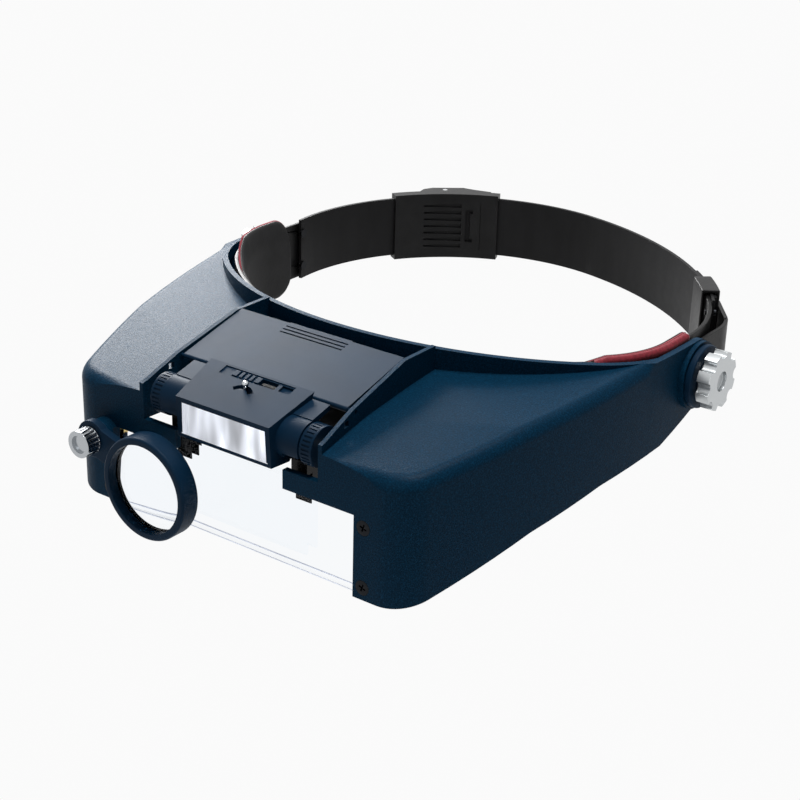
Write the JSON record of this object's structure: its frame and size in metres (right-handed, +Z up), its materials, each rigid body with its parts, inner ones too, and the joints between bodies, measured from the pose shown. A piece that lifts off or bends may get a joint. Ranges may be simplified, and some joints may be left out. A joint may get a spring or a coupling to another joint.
{
  "type": "headband magnifier",
  "caption": "Head-worn magnifier: a tilting visor with a wide main lens, flip-down inner lens, swing-out round loupe and small aimable lamp, on an adjustable padded headband.",
  "frame": {"origin": "midpoint of the tilt axis, between the two temple knobs and inside the head opening", "axes": "+X towards the wearer's left along the tilt axis, -Y forward from the face towards the lens, +Z up through the head opening"},
  "size_m": [0.2094, 0.2365, 0.0622],
  "materials": {
    "black_abs": "satin black moulded plastic",
    "red_foam": "dark red foam with a cloth skin",
    "black_lining": "thin black lining",
    "strap_plastic": "flexible black strap plastic",
    "navy_abs": "fine-textured navy plastic",
    "navy_satin": "smooth navy plastic",
    "chrome": "polished",
    "steel": "plain",
    "dark_steel": "black oxide",
    "clear": "clear acrylic",
    "diode": "clear epoxy",
    "white_plastic": "silvered white",
    "cell_wrap": "plain cell wrap",
    "brass": "plain"
  },
  "bodies": {
    "headband": {"forehead_band": "black_abs", "forehead_pad": "red_foam", "pad_lining": "black_lining", "temple_arms": "black_abs", "temple_rivets": "dark_steel", "rear_strap_left": "strap_plastic", "rear_strap_right": "strap_plastic", "strap_keeper": "strap_plastic", "buckle_body": "black_abs", "buckle_pin": "steel", "temple_nuts": "brass", "temple_washers": "black_abs"},
    "buckle_lever": {"buckle_lever": "black_abs"},
    "visor": {"visor_shell": "navy_abs", "ear_rings": "navy_satin", "main_lens": "clear", "lens_screws": "dark_steel", "lens_retainers": "navy_satin", "battery_tray": "black_abs", "battery_cells": "cell_wrap", "battery_contacts": "steel", "loupe_nut": "brass"},
    "battery_cover": {"battery_cover": "navy_satin"},
    "light_head": {"light_head_shell": "navy_satin", "lamp_floor_plate": "black_abs", "lamp_window": "clear", "lamp_switch_body": "black_abs"},
    "reflector": {"lamp_reflector": "white_plastic", "lamp_diodes": "diode", "aim_pin": "chrome"},
    "switch_slider": {"switch_slider": "navy_satin"},
    "inner_lens": {"inner_lens": "clear", "lens_carrier": "black_abs", "flip_axle": "steel", "finger_wheels": "navy_satin"},
    "loupe": {"loupe_frame": "navy_satin", "loupe_lens": "clear", "loupe_retainer": "black_abs"},
    "thumb_screw": {"thumb_screw": "chrome"},
    "knob_left": {"knob_left": "chrome", "bolt_left": "steel"},
    "knob_right": {"knob_right": "chrome", "bolt_right": "steel"}
  },
  "joints": [
    {"name": "visor_tilt", "type": "hinge", "parent": "headband", "child": "visor", "pos_m": [0, 0, 0], "axis": [-1, 0, 0], "range_deg": [0, 50]},
    {"name": "buckle_lever_lift", "type": "hinge", "parent": "headband", "child": "buckle_lever", "pos_m": [-0.0651, 0.07887, 0.0018], "axis": [0, 0, 1], "range_deg": [0, 40]},
    {"name": "battery_cover_open", "type": "hinge", "parent": "visor", "child": "battery_cover", "pos_m": [0, -0.11239, 0.00804], "axis": [1, 0, 0], "range_deg": [0, 45]},
    {"name": "light_head_tip", "type": "hinge", "parent": "visor", "child": "light_head", "pos_m": [0, -0.123, -0.00115], "axis": [1, 0, 0], "range_deg": [0, 20]},
    {"name": "lamp_aim", "type": "hinge", "parent": "light_head", "child": "reflector", "pos_m": [-0.0007, -0.1249, 0.0033], "axis": [0, 0, 1], "range_deg": [-15, 15]},
    {"name": "lamp_switch", "type": "slide", "parent": "light_head", "child": "switch_slider", "axis": [1, 0, 0], "range_m": [0, 0.005]},
    {"name": "inner_lens_flip", "type": "hinge", "parent": "visor", "child": "inner_lens", "pos_m": [0, -0.123, -0.00115], "axis": [1, 0, 0], "range_deg": [0, 60]},
    {"name": "loupe_swing", "type": "hinge", "parent": "visor", "child": "loupe", "pos_m": [-0.0538, -0.137, -0.0192], "axis": [0, 1, 0], "range_deg": [-45, 180]},
    {"name": "thumb_screw_turn", "type": "hinge", "parent": "visor", "child": "thumb_screw", "pos_m": [-0.0538, -0.14, -0.0192], "axis": [0, -1, 0], "continuous": true},
    {"name": "knob_left_turn", "type": "hinge", "parent": "headband", "child": "knob_left", "pos_m": [0.1, 0, 0], "axis": [1, 0, 0], "continuous": true},
    {"name": "knob_right_turn", "type": "hinge", "parent": "headband", "child": "knob_right", "pos_m": [-0.1, 0, 0], "axis": [-1, 0, 0], "continuous": true}
  ]
}
